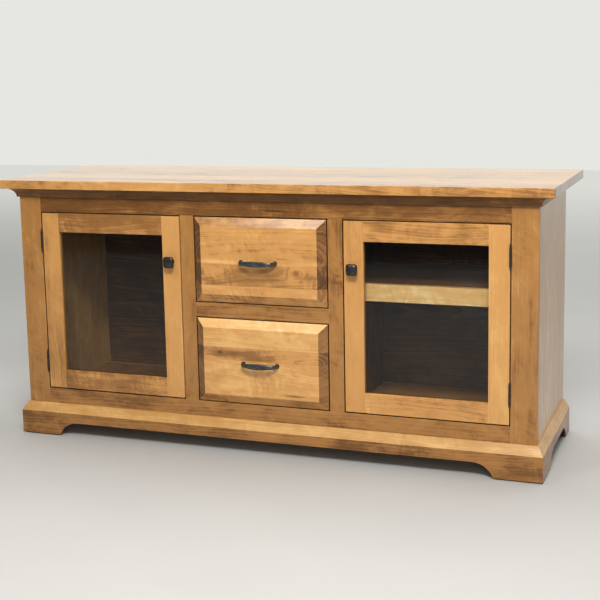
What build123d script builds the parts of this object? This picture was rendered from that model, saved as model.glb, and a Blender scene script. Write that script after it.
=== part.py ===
"""Console television cabinet: a face-framed wooden case on a bracket-foot base, with two inset
glazed doors, two inset drawers on full-extension slides, and one adjustable shelf.

Millimetres. +Z is up and the front faces -Y. The origin is on the floor, under the middle of
the overall box. Depths are measured back from the front of the face frame, by the function y().
"""

import os

from build123d import *

os.makedirs("parts", exist_ok=True)

# ---------------------------------------------------------------- driving dimensions
case_width = 1524.0  # over the face frame and the side panels
case_depth = 472.0  # front of the face frame to the back of the case
stock = 19.0  # solid boards and panels
glide_height = 4.0  # the base boards hang this far above the floor
glide_radius = 13.0
glide_inset = 28.0  # from the corner of the case to the middle of a glide

top_thickness = 25.0
top_overhang_side = 43.0
top_overhang_front = 36.0
top_overhang_back = 37.0  # room for cords behind the case
top_edge_radius = 1.6

base_height = 93.0
base_bevel_height = 25.5
base_lip = 4.0  # flat strip on top of the base boards
foot_length = 129.0
rear_foot_length = 70.0
arch_height = 39.0
arch_run = 57.0  # length of the curve from a foot to the straight part of the arch
corner_block_size = 60.0
mitre_allowance = 40.0  # extra length of a moulding, cut off again at its mitres

cove_height = 26.0
cove_reach = 29.0
cove_toe = 6.0
cove_toe_height = 3.0
cove_hollow = 5.5  # depth of the curve behind a straight line between its ends

stile_width = 70.0
mullion_width = 42.0
drawer_opening_width = 396.0
opening_bottom = 142.0
opening_top = 675.0
drawer_rail_height = 42.0
frame_bottom = 52.0
frame_tenon = 18.0  # length of the tenons that join the face frame
tenon_thickness = 7.0

eased = 1.0  # rounding of the exposed edges of the joinery
gap = 3.0  # round each door and drawer front
door_stile_width = 55.0
door_rail_width = 56.0
door_tenon = 22.0
glass_thickness = 3.0
glass_depth = 7.0  # face of the door to the front of the glass
rebate = 10.0  # width of the ledge that the glass sits on
stop_size = 9.0  # glass stop section

field_raise = 15.0  # raised field of a drawer front, in front of the face frame
field_margin = 24.0  # width of its bevel
field_arris = 0.8  # small flat on the edge between the field and its bevel
front_back = 10.0  # back of a drawer front, behind the face

pull_reach = 28.0
pull_centres = 96.0
pull_length = 116.0
pull_height = 17.0  # of the bar at its middle
pull_waist_height = 11.0  # where the bar is narrowest
pull_foot_height = 15.0
pull_drop = 2.5  # centre of a pull below the middle of its drawer front
pull_bar = 6.5  # thickness of the bar, front to back
pull_pad = 4.0  # thickness of the flared pads against the drawer
knob_size = 32.0
knob_reach = 27.0
knob_height = 542.0  # of its centre above the floor

box_clearance = 13.0  # for the slide, on each side of a drawer box
box_height = 190.0
box_lift = 18.0  # bottom of a drawer box above the bottom of its opening
box_depth = 410.0
box_stock = 13.0
bottom_stock = 6.0
slide_length = 400.0
slide_start = 25.0  # front of the slides behind the face
slide_centre = 75.0  # above the bottom of a drawer box
slide_metal = 1.3
slide_sections = {  # the web's and the lips' distances from the partition, and half the height
    "case": (0.0, 9.4, 22.5),
    "middle": (4.0, 10.8, 17.0),
    "drawer": (box_clearance, 6.4, 12.0),
}
groove_depth = 6.0
groove_rise = 12.0  # bottom of the groove above the bottom of the drawer box

floor_top = 110.0  # upper face of the case bottom
floor_stock = 18.0
back_stock = 6.0
back_lap = 10.0  # rebate in the side panels for the back
dado = 6.0
stretcher_width = 70.0
screw_radius = 2.0
screw_bite = 14.0  # length of a screw inside the top
screw_columns = (-600.0, -239.0, 239.0, 600.0)
cable_port_radius = 25.5
cable_port_x = 480.0
cable_port_z = 640.0

shelf_front = 40.0
shelf_back = 400.0
shelf_top = 495.0
shelf_stock = 18.0
nosing_height = 47.0
nosing_radius = 1.2
shelf_play = 1.5  # between the shelf and the walls
pin_radius = 2.5
pin_hole_depth = 10.0
pin_reach = 9.0  # length of a pin outside its hole
pin_rows = range(-7, 6)  # hole rows, counted from the row that the shelf stands on
pin_pitch = 32.0
pin_columns = (90.0, 360.0)

catch_height = 610.0  # of the middle of a magnetic catch above the floor
catch_length = 47.0
catch_size = 14.0
catch_gap = 0.5
strike_thickness = 1.3

hinge_height = 50.0
hinge_inset = 82.0  # centre of a hinge from the end of its door
barrel_radius = 3.4
hinge_pin_radius = 1.6
leaf_thickness = 1.8
leaf_gap = 0.5  # between the closed leaves
leaf_reach = 16.0
knuckles = 5

# ---------------------------------------------------------------- places worked out from them
base_z = glide_height
case_top = base_z + 741.0  # underside of the top
overall_front = field_raise + pull_reach
overall_back = case_depth + top_overhang_back
face_y = -(overall_back - overall_front) / 2
half_case = case_width / 2
inner_wall = half_case - stock
door_outer = half_case - stile_width  # outer edge of a door opening
partition_x = drawer_opening_width / 2  # drawer side of a partition
door_inner = partition_x + mullion_width  # inner edge of a door opening
back_y = case_depth - back_stock
partition_outer = partition_x + stock
drawer_rail_z = (opening_bottom + opening_top - drawer_rail_height) / 2  # bottom of that rail
hinge_x = door_outer - gap / 2
hinge_depth = -(barrel_radius + 0.4)  # the barrel stands clear in front of the face


def y(depth):
    """The Y coordinate of a depth behind the front of the face frame."""
    return face_y + depth


def save(part, name):
    """Labels a finished piece and writes its STEP file."""
    part.label = name
    export_step(part, f"parts/{name}.step")


def block(x_range, depth_range, z_range, mode=Mode.ADD):
    """A rectangular block between pairs of limits, joined to or cut from the part being built."""
    x0, x1 = sorted(x_range)
    d0, d1 = depth_range
    z0, z1 = z_range
    with Locations(((x0 + x1) / 2, y((d0 + d1) / 2), (z0 + z1) / 2)):
        Box(x1 - x0, d1 - d0, z1 - z0, mode=mode)


def mirrored(part):
    """The left-hand copy of a right-hand piece."""
    with BuildPart() as copy:
        mirror(part, about=Plane.YZ)
    return copy.part


def both_sides(right):
    """Right-hand pieces and their left-hand copies, together."""
    with BuildPart() as pair:
        add(right)
        mirror(right, about=Plane.YZ)
    return pair.part


def save_pair(part, name):
    """Writes a right-hand piece and its mirror image. The name has {} where the side goes."""
    save(mirrored(part), name.format("left"))
    save(part, name.format("right"))


# ---------------------------------------------------------------- top
def make_top():
    with BuildPart() as top:
        block(
            (-half_case - top_overhang_side, half_case + top_overhang_side),
            (-top_overhang_front, overall_back),
            (case_top, case_top + top_thickness),
        )
        fillet(top.edges(), top_edge_radius)
    save(top.part, "top_panel")


# ---------------------------------------------------------------- mitred mouldings
right_mitre = Plane(origin=(half_case, face_y, 0), z_dir=(1, 1, 0))
left_mitre = Plane(origin=(-half_case, face_y, 0), z_dir=(-1, 1, 0))


def cove_profile():
    """Section of the moulding under the top: reach from the case, and height."""
    foot = case_top - cove_height
    with BuildSketch(Plane.XY) as section:
        with BuildLine():
            Polyline(
                (0, case_top),
                (0, foot),
                (cove_toe, foot),
                (cove_toe, foot + cove_toe_height),
            )
            SagittaArc(
                (cove_toe, foot + cove_toe_height),
                (cove_reach, case_top),
                cove_hollow,
            )
            Line((cove_reach, case_top), (0, case_top))
        make_face()
    return section.sketch


def base_profile():
    """Section of the base boards: square below, bevelled above, with a narrow flat on top."""
    rim = base_z + base_height
    with BuildSketch(Plane.XY) as section:
        with BuildLine():
            Polyline(
                (0, base_z),
                (stock, base_z),
                (stock, rim - base_bevel_height),
                (base_lip, rim),
                (0, rim),
                close=True,
            )
        make_face()
        outer = section.vertices().group_by(Axis.X)
        fillet(outer[-1].sort_by(Axis.Y)[-1], 2 * eased)
        fillet(section.vertices().group_by(Axis.X)[1], eased)
    return section.sketch


def front_moulding(profile):
    """A moulding across the front of the case, cut to both mitres."""
    half = half_case + mitre_allowance
    with BuildPart() as piece:
        with BuildSketch(Plane(origin=(0, face_y, 0), x_dir=(0, -1, 0), z_dir=(-1, 0, 0))):
            add(profile)
        extrude(amount=half, both=True)
        split(bisect_by=right_mitre, keep=Keep.BOTTOM)
        split(bisect_by=left_mitre, keep=Keep.BOTTOM)
    return piece.part


def side_moulding(profile):
    """The same moulding returned along the right-hand side of the case."""
    with BuildPart() as piece:
        with BuildSketch(
            Plane(origin=(half_case, y(case_depth), 0), x_dir=(1, 0, 0), z_dir=(0, -1, 0))
        ):
            add(profile)
        extrude(amount=case_depth + mitre_allowance)
        split(bisect_by=right_mitre, keep=Keep.TOP)
    return piece.part


def make_coves():
    save(front_moulding(cove_profile()), "cove_front")
    save(both_sides(side_moulding(cove_profile())), "cove_sides")


def arch(start, end):
    """Closed outline of the cut-out between two feet, in the plane of the board."""
    low = base_z - 1
    crown = base_z + arch_height
    with BuildLine() as outline:
        Line((start, low), (start, base_z))
        TangentArc((start + arch_run, crown), (start, base_z), tangent=(-1, 0))
        Line((start + arch_run, crown), (end - arch_run, crown))
        TangentArc((end - arch_run, crown), (end, base_z), tangent=(1, 0))
        Polyline((end, base_z), (end, low), (start, low))
    return outline.line


def make_base():
    half_arch = half_case + stock - foot_length
    with BuildPart() as front:
        add(front_moulding(base_profile()))
        with BuildSketch(Plane(origin=(0, face_y, 0), x_dir=(1, 0, 0), z_dir=(0, -1, 0))):
            add(arch(-half_arch, half_arch))
            make_face()
        extrude(amount=stock + 1, both=True, mode=Mode.SUBTRACT)
    save(front.part, "base_front")

    with BuildPart() as side:
        add(side_moulding(base_profile()))
        with BuildSketch(Plane(origin=(half_case, 0, 0), x_dir=(0, 1, 0), z_dir=(1, 0, 0))):
            add(arch(y(foot_length - stock), y(case_depth - rear_foot_length)))
            make_face()
        extrude(amount=stock + 1, both=True, mode=Mode.SUBTRACT)
    save(both_sides(side.part), "base_sides")

    with BuildPart() as corner_blocks:
        for side_sign in (-1, 1):
            for depth in (0.0, case_depth - corner_block_size):
                edge = side_sign * half_case
                block(
                    (edge, edge - side_sign * corner_block_size),
                    (depth, depth + corner_block_size),
                    (base_z, frame_bottom),
                )
    save(corner_blocks.part, "base_corner_blocks")

    with BuildPart() as glides:
        with BuildSketch(Plane.XY):
            for side_sign in (-1, 1):
                for depth in (glide_inset, case_depth - glide_inset):
                    with Locations((side_sign * (half_case - glide_inset), y(depth))):
                        Circle(glide_radius)
        extrude(amount=glide_height)
        chamfer(glides.edges().group_by(Axis.Z)[0], 1)
    save(glides.part, "glides")


# ---------------------------------------------------------------- face frame
def tenon_depths():
    """Depth limits of a tenon in the middle of the face frame's thickness."""
    return (stock - tenon_thickness) / 2, (stock + tenon_thickness) / 2


def hinge_heights():
    """Heights of the two hinges of a door."""
    low = opening_bottom + gap + hinge_inset
    high = opening_top - gap - hinge_inset
    return low, high


def cut_hinge_gain(edge_x, direction):
    """Cuts the shallow recesses for the hinge leaves into an edge of the part being built.
    The direction is +1 where the wood is on the +X side of the edge."""
    recess = leaf_thickness - (gap - leaf_gap) / 2
    for height in hinge_heights():
        block(
            (edge_x - direction, edge_x + direction * recess),
            (-1, leaf_reach),
            (height - hinge_height / 2, height + hinge_height / 2),
            mode=Mode.SUBTRACT,
        )


def face_frame_outline():
    """The whole face frame as one board, with its openings cut and its edges eased."""
    with BuildPart() as frame:
        block((-half_case, half_case), (0, stock), (frame_bottom, case_top))
        for x_range, z_range in (
            ((-door_outer, -door_inner), (opening_bottom, opening_top)),
            ((door_inner, door_outer), (opening_bottom, opening_top)),
            ((-partition_x, partition_x), (opening_bottom, drawer_rail_z)),
            ((-partition_x, partition_x), (drawer_rail_z + drawer_rail_height, opening_top)),
        ):
            block(x_range, (-1, stock + 1), z_range, mode=Mode.SUBTRACT)
        front_edges = frame.edges().group_by(Axis.Y)[0]
        upright = front_edges.filter_by(Axis.Z)
        level = front_edges.filter_by(Axis.X).group_by(Axis.Z)[1:-1]
        fillet(upright + [edge for row in level for edge in row], eased)
    return frame.part


def make_face_frame():
    outline = face_frame_outline()
    t0, t1 = tenon_depths()
    shoulder = 10.0  # above and below the tenon of a wide rail
    narrow_shoulder = 6.0
    top_band = (opening_top + shoulder, case_top - shoulder)
    bottom_band = (frame_bottom + shoulder, opening_bottom - shoulder)
    rail_band = (
        drawer_rail_z + narrow_shoulder,
        drawer_rail_z + drawer_rail_height - narrow_shoulder,
    )
    mullion_band = (partition_x + narrow_shoulder, door_inner - narrow_shoulder)

    with BuildPart() as stile:
        add(outline)
        block((door_outer, half_case), (0, stock), (frame_bottom, case_top), mode=Mode.INTERSECT)
        for band in (top_band, bottom_band):
            block((door_outer, door_outer + frame_tenon), (t0, t1), band, mode=Mode.SUBTRACT)
        cut_hinge_gain(door_outer, 1)
    save_pair(stile.part, "face_stile_{}")

    for name, z_range, band, mortise in (
        (
            "face_top_rail",
            (opening_top, case_top),
            top_band,
            (opening_top, opening_top + frame_tenon),
        ),
        (
            "face_bottom_rail",
            (frame_bottom, opening_bottom),
            bottom_band,
            (opening_bottom - frame_tenon, opening_bottom),
        ),
    ):
        with BuildPart() as rail:
            add(outline)
            block((-door_outer, door_outer), (0, stock), z_range, mode=Mode.INTERSECT)
            block((-door_outer - frame_tenon, door_outer + frame_tenon), (t0, t1), band)
            for side_sign in (-1, 1):
                x0, x1 = (side_sign * limit for limit in mullion_band)
                block((x0, x1), (t0, t1), mortise, mode=Mode.SUBTRACT)
        save(rail.part, name)

    with BuildPart() as mullion:
        add(outline)
        block(
            (partition_x, door_inner),
            (0, stock),
            (opening_bottom, opening_top),
            mode=Mode.INTERSECT,
        )
        block(
            mullion_band,
            (t0, t1),
            (opening_bottom - frame_tenon, opening_top + frame_tenon),
        )
        block(
            (partition_x, partition_x + frame_tenon),
            (t0, t1),
            rail_band,
            mode=Mode.SUBTRACT,
        )
    save_pair(mullion.part, "face_mullion_{}")

    with BuildPart() as drawer_rail:
        add(outline)
        block(
            (-partition_x, partition_x),
            (0, stock),
            (drawer_rail_z, drawer_rail_z + drawer_rail_height),
            mode=Mode.INTERSECT,
        )
        block(
            (-partition_x - frame_tenon, partition_x + frame_tenon),
            (t0, t1),
            rail_band,
        )
    save(drawer_rail.part, "face_drawer_rail")


# ---------------------------------------------------------------- case panels
pin_z = shelf_top - shelf_stock - pin_radius  # centre of the pins that carry the shelf


def drill_pin_holes(wall_x, direction):
    """Cuts the two columns of shelf-pin holes into a wall. The direction points into the wall."""
    plane = Plane(origin=(wall_x, 0, 0), x_dir=(0, 1, 0), z_dir=(1, 0, 0))
    with BuildSketch(plane) as holes:
        for depth in pin_columns:
            for row in pin_rows:
                with Locations((y(depth), pin_z + row * pin_pitch)):
                    Circle(pin_radius)
    extrude(holes.sketch, amount=direction * pin_hole_depth, mode=Mode.SUBTRACT)


def make_case_panels():
    floor_bottom = floor_top - floor_stock
    with BuildPart() as side:
        block((inner_wall, half_case), (stock, case_depth), (frame_bottom, case_top))
        block(
            (inner_wall, half_case - stock + back_lap),
            (back_y, case_depth),
            (floor_bottom, case_top),
            mode=Mode.SUBTRACT,
        )
        block(
            (inner_wall, inner_wall + dado),
            (stock, back_y),
            (floor_bottom, floor_top),
            mode=Mode.SUBTRACT,
        )
        drill_pin_holes(inner_wall, 1)
    save_pair(side.part, "side_panel_{}")

    with BuildPart() as partition:
        block(
            (partition_x, partition_outer),
            (stock, back_y),
            (floor_top - dado, case_top - stock),
        )
        drill_pin_holes(partition_outer, -1)
    save(both_sides(partition.part), "partitions")

    with BuildPart() as floor:
        block(
            (-inner_wall - dado, inner_wall + dado),
            (stock, back_y),
            (floor_bottom, floor_top),
        )
        for side_sign in (-1, 1):
            block(
                (side_sign * partition_x, side_sign * partition_outer),
                (stock, back_y),
                (floor_top - dado, floor_top),
                mode=Mode.SUBTRACT,
            )
    save(floor.part, "bottom_panel")

    half_back = inner_wall + back_lap
    with BuildPart() as back:
        block((-half_back, half_back), (back_y, case_depth), (floor_bottom, case_top))
        with BuildSketch(Plane(origin=(0, y(case_depth), 0), x_dir=(1, 0, 0), z_dir=(0, -1, 0))):
            with Locations((-cable_port_x, cable_port_z), (cable_port_x, cable_port_z)):
                Circle(cable_port_radius)
        extrude(amount=back_stock, mode=Mode.SUBTRACT)
    save(back.part, "back_panel")

    stretcher_fronts = (stock, back_y - stretcher_width)
    screw_places = [
        (x, y(depth + stretcher_width / 2))
        for x in screw_columns
        for depth in stretcher_fronts
    ]
    with BuildPart() as stretchers:
        for depth in stretcher_fronts:
            block(
                (-inner_wall, inner_wall),
                (depth, depth + stretcher_width),
                (case_top - stock, case_top),
            )
        with BuildSketch(Plane.XY.offset(case_top)):
            with Locations(*screw_places):
                Circle(screw_radius + 0.5)
        extrude(amount=-stock, mode=Mode.SUBTRACT)
    save(stretchers.part, "top_stretchers")

    head_radius = 4.4
    head_height = 2.4
    with BuildPart() as screws:
        with BuildSketch(Plane.XY.offset(case_top - stock)):
            with Locations(*screw_places):
                Circle(screw_radius)
        extrude(amount=stock + screw_bite)
        with BuildSketch(Plane.XY.offset(case_top - stock)):
            with Locations(*screw_places):
                Circle(head_radius)
        extrude(amount=-head_height)
        fillet(screws.edges().group_by(Axis.Z)[0], head_height / 2)
    save(screws.part, "top_screws")


# ---------------------------------------------------------------- shelf
def make_shelf():
    x_range = (partition_outer + shelf_play, inner_wall - shelf_play)
    with BuildPart() as nosing:
        block(
            x_range,
            (shelf_front, shelf_front + stock),
            (shelf_top - nosing_height, shelf_top),
        )
        fillet(nosing.edges().filter_by(Axis.X).group_by(Axis.Y)[0], nosing_radius)
    save(nosing.part, "shelf_nosing")

    with BuildPart() as board:
        block(x_range, (shelf_front + stock, shelf_back), (shelf_top - shelf_stock, shelf_top))
    save(board.part, "shelf_board")

    with BuildPart() as pins:
        for wall, direction in ((partition_outer, 1), (inner_wall, -1)):
            with BuildSketch(Plane(origin=(wall, 0, 0), x_dir=(0, 1, 0), z_dir=(1, 0, 0))):
                with Locations(*[(y(depth), pin_z) for depth in pin_columns]):
                    Circle(pin_radius)
            extrude(amount=direction * pin_reach)
            with BuildSketch(Plane(origin=(wall, 0, 0), x_dir=(0, 1, 0), z_dir=(1, 0, 0))):
                with Locations(*[(y(depth), pin_z) for depth in pin_columns]):
                    Circle(pin_radius - 0.05)
            extrude(amount=-direction * (pin_hole_depth - 0.5))
    save(pins.part, "shelf_pins")


# ---------------------------------------------------------------- hinges
def knuckle_zones(owner):
    """Height limits, about the middle of the hinge, of the knuckles of one leaf.
    The frame leaf has the odd knuckles and the door leaf the even ones."""
    pitch = hinge_height / knuckles
    first = {"frame": 0, "door": 1}[owner]
    for number in range(first, knuckles, 2):
        low = -hinge_height / 2 + number * pitch
        yield low + 0.15, low + pitch - 0.15


def hinge_leaf(owner, direction, height):
    """One leaf of a right-hand hinge, with its knuckles, about the axis at hinge_x.
    The direction is the side of the axis that the leaf lies on."""
    x0 = hinge_x + direction * leaf_gap / 2
    x1 = x0 + direction * leaf_thickness
    axis_plane = Plane(origin=(hinge_x, y(hinge_depth), 0))
    clear = barrel_radius + 0.4
    with BuildPart() as leaf:
        block(
            (x0, x1),
            (hinge_depth + clear, leaf_reach),
            (height - hinge_height / 2, height + hinge_height / 2),
        )
        for low, high in knuckle_zones(owner):
            block((x0, x1), (hinge_depth, hinge_depth + clear), (height + low, height + high))
            with BuildSketch(axis_plane.offset(height + low)):
                Circle(barrel_radius)
            extrude(amount=high - low)
        with BuildSketch(axis_plane.offset(height - hinge_height)):
            Circle(hinge_pin_radius + 0.05)
        extrude(amount=2 * hinge_height, mode=Mode.SUBTRACT)
    return leaf.part


def hinge_pin(height):
    """The pin of a right-hand hinge, with a turned finial on each end."""
    half = hinge_height / 2 + 0.1
    collar = 3.3
    neck = 1.6
    ball = 3.0
    ball_z = half + 4.8
    ball_cap = (ball**2 - neck**2) ** 0.5  # from the ball's centre to where it meets the neck
    tip = half + 11.0
    profile_plane = Plane(
        origin=(hinge_x, y(hinge_depth), height), x_dir=(1, 0, 0), z_dir=(0, -1, 0)
    )
    with BuildPart() as pin:
        with BuildSketch(profile_plane):
            with BuildLine():
                Polyline(
                    (hinge_pin_radius, 0),
                    (hinge_pin_radius, half),
                    (collar, half),
                    (collar, half + 1.2),
                    (neck, ball_z - ball_cap),
                )
                ThreePointArc((neck, ball_z - ball_cap), (ball, ball_z), (neck, ball_z + ball_cap))
                Polyline(
                    (neck, ball_z + ball_cap),
                    (neck, tip - 1.4),
                    (0.7, tip),
                    (0, tip),
                )
                mirror(about=Plane.XZ)
                Line((0, tip), (0, -tip))
            make_face()
        revolve(axis=Axis((hinge_x, y(hinge_depth), 0), (0, 0, 1)))
    return pin.part


def make_hinges():
    frame_leaves = [hinge_leaf("frame", 1, height) for height in hinge_heights()]
    door_leaves = [hinge_leaf("door", -1, height) for height in hinge_heights()]
    pins = [hinge_pin(height) for height in hinge_heights()]
    save(both_sides(frame_leaves), "hinge_frame_leaves")
    save(both_sides(pins), "hinge_pins")
    with BuildPart() as door_side:
        add(door_leaves)
    save_pair(door_side.part, "{}_door_hinge_leaves")


# ---------------------------------------------------------------- doors
def make_knob(x):
    """A square pillow knob on a waisted neck, on the latch stile of the right-hand door."""
    head = 12.0  # thickness of the square head
    brim = 5.0  # its straight edge
    crown = 4.5  # how far the front face is inside the edge, all round
    flange_radius = 9.0
    waist_radius = 5.5
    face_plane = Plane(origin=(x, face_y, knob_height), x_dir=(1, 0, 0), z_dir=(0, -1, 0))
    with BuildPart() as knob:
        for reach, radius in (
            (0, flange_radius),
            (3, waist_radius + 0.5),
            (9, waist_radius),
            (knob_reach - head + 0.5, flange_radius),
        ):
            with BuildSketch(face_plane.offset(reach)):
                Circle(radius)
        loft()
        with BuildSketch(face_plane.offset(knob_reach - head)):
            RectangleRounded(knob_size - 1, knob_size - 1, 6)
        with BuildSketch(face_plane.offset(knob_reach - head + brim)):
            RectangleRounded(knob_size, knob_size, 7)
        with BuildSketch(face_plane.offset(knob_reach)):
            RectangleRounded(knob_size - 2 * crown, knob_size - 2 * crown, 5)
        loft(ruled=True)
        fillet(knob.edges().group_by(Axis.Y)[0], 1.5)
    return knob.part


def make_door():
    x0, x1 = door_inner + gap, door_outer - gap
    z0, z1 = opening_bottom + gap, opening_top - gap
    sight_x = (x0 + door_stile_width, x1 - door_stile_width)
    sight_z = (z0 + door_rail_width, z1 - door_rail_width)
    pocket_x = (sight_x[0] - rebate, sight_x[1] + rebate)
    pocket_z = (sight_z[0] - rebate, sight_z[1] + rebate)
    tenon_front = 2.5
    tenon_y = (tenon_front, tenon_front + tenon_thickness)
    rails = {"bottom": (z0, sight_z[0]), "top": (sight_z[1], z1)}
    tenons = {"bottom": (z0 + 10, pocket_z[0] - 6), "top": (pocket_z[1] + 6, z1 - 10)}

    with BuildPart() as outline:
        block((x0, x1), (0, stock), (z0, z1))
        block(sight_x, (-1, stock + 1), sight_z, mode=Mode.SUBTRACT)
        fillet(outline.edges().group_by(Axis.Y)[0], eased)
        block(pocket_x, (glass_depth, stock + 1), pocket_z, mode=Mode.SUBTRACT)

    for name, x_range, mortise_x in (
        ("latch_stile", (x0, sight_x[0]), (sight_x[0] - door_tenon, sight_x[0])),
        ("hinge_stile", (sight_x[1], x1), (sight_x[1], sight_x[1] + door_tenon)),
    ):
        with BuildPart() as stile:
            add(outline.part)
            block(x_range, (0, stock), (z0, z1), mode=Mode.INTERSECT)
            for band in tenons.values():
                block(mortise_x, tenon_y, band, mode=Mode.SUBTRACT)
            if name == "hinge_stile":
                cut_hinge_gain(x1, -1)
        save_pair(stile.part, "{}_door_" + name)

    for name, z_range in rails.items():
        with BuildPart() as rail:
            add(outline.part)
            block(sight_x, (0, stock), z_range, mode=Mode.INTERSECT)
            block(
                (sight_x[0] - door_tenon, sight_x[1] + door_tenon),
                tenon_y,
                tenons[name],
            )
        save_pair(rail.part, "{}_door_" + name + "_rail")

    play = 1.0
    with BuildPart() as glass:
        block(
            (pocket_x[0] + play, pocket_x[1] - play),
            (glass_depth, glass_depth + glass_thickness),
            (pocket_z[0] + play, pocket_z[1] - play),
        )
    save_pair(glass.part, "{}_door_glass")

    behind_glass = glass_depth + glass_thickness
    with BuildPart() as stops:
        for low, high in (
            (pocket_z[0], pocket_z[0] + stop_size),
            (pocket_z[1] - stop_size, pocket_z[1]),
        ):
            block(pocket_x, (behind_glass, stock), (low, high))
        for low, high in (
            (pocket_x[0], pocket_x[0] + stop_size),
            (pocket_x[1] - stop_size, pocket_x[1]),
        ):
            block(
                (low, high),
                (behind_glass, stock),
                (pocket_z[0] + stop_size + 0.1, pocket_z[1] - stop_size - 0.1),
            )
    save_pair(stops.part, "{}_door_glass_stops")

    save_pair(make_knob(x0 + door_stile_width / 2), "{}_door_knob")


def make_catches():
    """Magnetic catches on the partitions, and the steel plates that they hold on the doors."""
    magnet_front = stock + catch_gap + strike_thickness
    low, high = catch_height - catch_size / 2, catch_height + catch_size / 2
    with BuildPart() as catch:
        block(
            (partition_outer, partition_outer + catch_length),
            (magnet_front, magnet_front + catch_size),
            (low, high),
        )
        block(
            (partition_outer, partition_outer + 3),
            (magnet_front + catch_size, magnet_front + catch_size + 20),
            (low, high),
        )
    save(both_sides(catch.part), "door_catches")

    with BuildPart() as strike:
        block(
            (door_inner + gap + 3, partition_outer + catch_length - 2),
            (stock, stock + strike_thickness),
            (low - 2, high + 2),
        )
    save_pair(strike.part, "{}_door_strike")


# ---------------------------------------------------------------- drawers
def make_pull(height):
    """A bow pull: a bar that swells in the middle, on two flared feet."""
    end = pull_length / 2
    inner = pull_centres - end  # inner edge of a foot
    waist = end - 14.0  # where the bar is narrowest, seen from the front
    half_waist = pull_waist_height / 2
    half_foot = pull_foot_height / 2
    shoulder = pull_reach - 7.0
    seat = y(-field_raise)
    plan = Plane(origin=(0, seat, height - pull_height), x_dir=(1, 0, 0), z_dir=(0, 0, 1))
    front_view = Plane(origin=(0, seat, height), x_dir=(1, 0, 0), z_dir=(0, -1, 0))
    with BuildPart() as pull:
        with BuildSketch(plan):
            with BuildLine():
                TangentArc((0, -pull_reach), (end - 7, -shoulder), tangent=(1, 0))
                ThreePointArc(
                    (end - 7, -shoulder),
                    (end - 3.6, -shoulder + 6),
                    (end - 2.5, -pull_pad),
                )
                Polyline(
                    (end - 2.5, -pull_pad),
                    (end - 1, 0),
                    (inner + 1, 0),
                    (inner + 3, -pull_pad),
                )
                ThreePointArc(
                    (inner + 3, -pull_pad),
                    (inner + 2, -shoulder + 9),
                    (inner - 4, -shoulder + 4.5),
                )
                TangentArc((0, -pull_reach + pull_bar), (inner - 4, -shoulder + 4.5), tangent=(1, 0))
                mirror(about=Plane.YZ)
            make_face()
        extrude(amount=2 * pull_height)
        with BuildSketch(front_view):
            with BuildLine():
                TangentArc((0, pull_height / 2), (waist, half_waist), tangent=(1, 0))
                Polyline((waist, half_waist), (end, half_foot), (end, -half_foot), (waist, -half_waist))
                TangentArc((0, -pull_height / 2), (waist, -half_waist), tangent=(1, 0))
                mirror(about=Plane.YZ)
            make_face()
        extrude(amount=pull_reach + 1, both=True, mode=Mode.INTERSECT)
    return pull.part


def raised_outline(half):
    """Section of a drawer front: a bevel on each side up to the raised field. The front is -Y."""
    with BuildSketch(Plane.XY) as section:
        with BuildLine():
            Polyline(
                (-half, front_back),
                (-half, 0),
                (-half + field_margin, -field_raise),
                (half - field_margin, -field_raise),
                (half, 0),
                (half, front_back),
                close=True,
            )
        make_face()
        chamfer(section.vertices().group_by(Axis.Y)[0], field_arris)
    return section.sketch


def make_drawer(name, opening_z):
    """The front, box, pull and slide members of one drawer."""
    z0, z1 = opening_z[0] + gap, opening_z[1] - gap
    half = partition_x - gap
    middle = (z0 + z1) / 2
    height = z1 - z0
    with BuildPart() as front:
        with BuildSketch(Plane(origin=(0, face_y, middle), x_dir=(1, 0, 0), z_dir=(0, 0, 1))):
            add(raised_outline(half))
        extrude(amount=height / 2, both=True)
        with BuildSketch(Plane(origin=(0, face_y, middle), x_dir=(0, 0, -1), z_dir=(1, 0, 0))):
            add(raised_outline(height / 2))
        extrude(amount=half, both=True, mode=Mode.INTERSECT)
    save(front.part, f"{name}_drawer_front")

    save(make_pull(middle - pull_drop), f"{name}_drawer_pull")

    outer = partition_x - box_clearance
    inner = outer - box_stock
    low = opening_z[0] + box_lift
    high = low + box_height
    start, end = front_back, front_back + box_depth
    groove_z = (low + groove_rise, low + groove_rise + bottom_stock)

    def cut_groove():
        """The groove that holds the drawer bottom on all four sides."""
        block(
            (-inner - groove_depth, inner + groove_depth),
            (start + box_stock - groove_depth, end - box_stock + groove_depth),
            groove_z,
            mode=Mode.SUBTRACT,
        )

    with BuildPart() as sides:
        for side_sign in (-1, 1):
            block((side_sign * inner, side_sign * outer), (start, end), (low, high))
        fillet(sides.edges().filter_by(Axis.Y).group_by(Axis.Z)[-1], 2)
        cut_groove()
    save(sides.part, f"{name}_drawer_sides")

    with BuildPart() as ends:
        for edge in (start, end - box_stock):
            block((-inner, inner), (edge, edge + box_stock), (low, high - 3))
        cut_groove()
    save(ends.part, f"{name}_drawer_ends")

    with BuildPart() as bottom:
        block(
            (-inner - groove_depth, inner + groove_depth),
            (start + box_stock - groove_depth, end - box_stock + groove_depth),
            groove_z,
        )
    save(bottom.part, f"{name}_drawer_bottom")

    slide_z = low + slide_centre
    with BuildPart() as inner_members:
        slide_member(slide_z, "drawer")
    save(inner_members.part, f"{name}_drawer_slide_rails")
    with BuildPart() as middle_members:
        slide_member(slide_z, "middle")
    save(middle_members.part, f"{name}_slide_middle_rails")
    return slide_z


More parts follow.
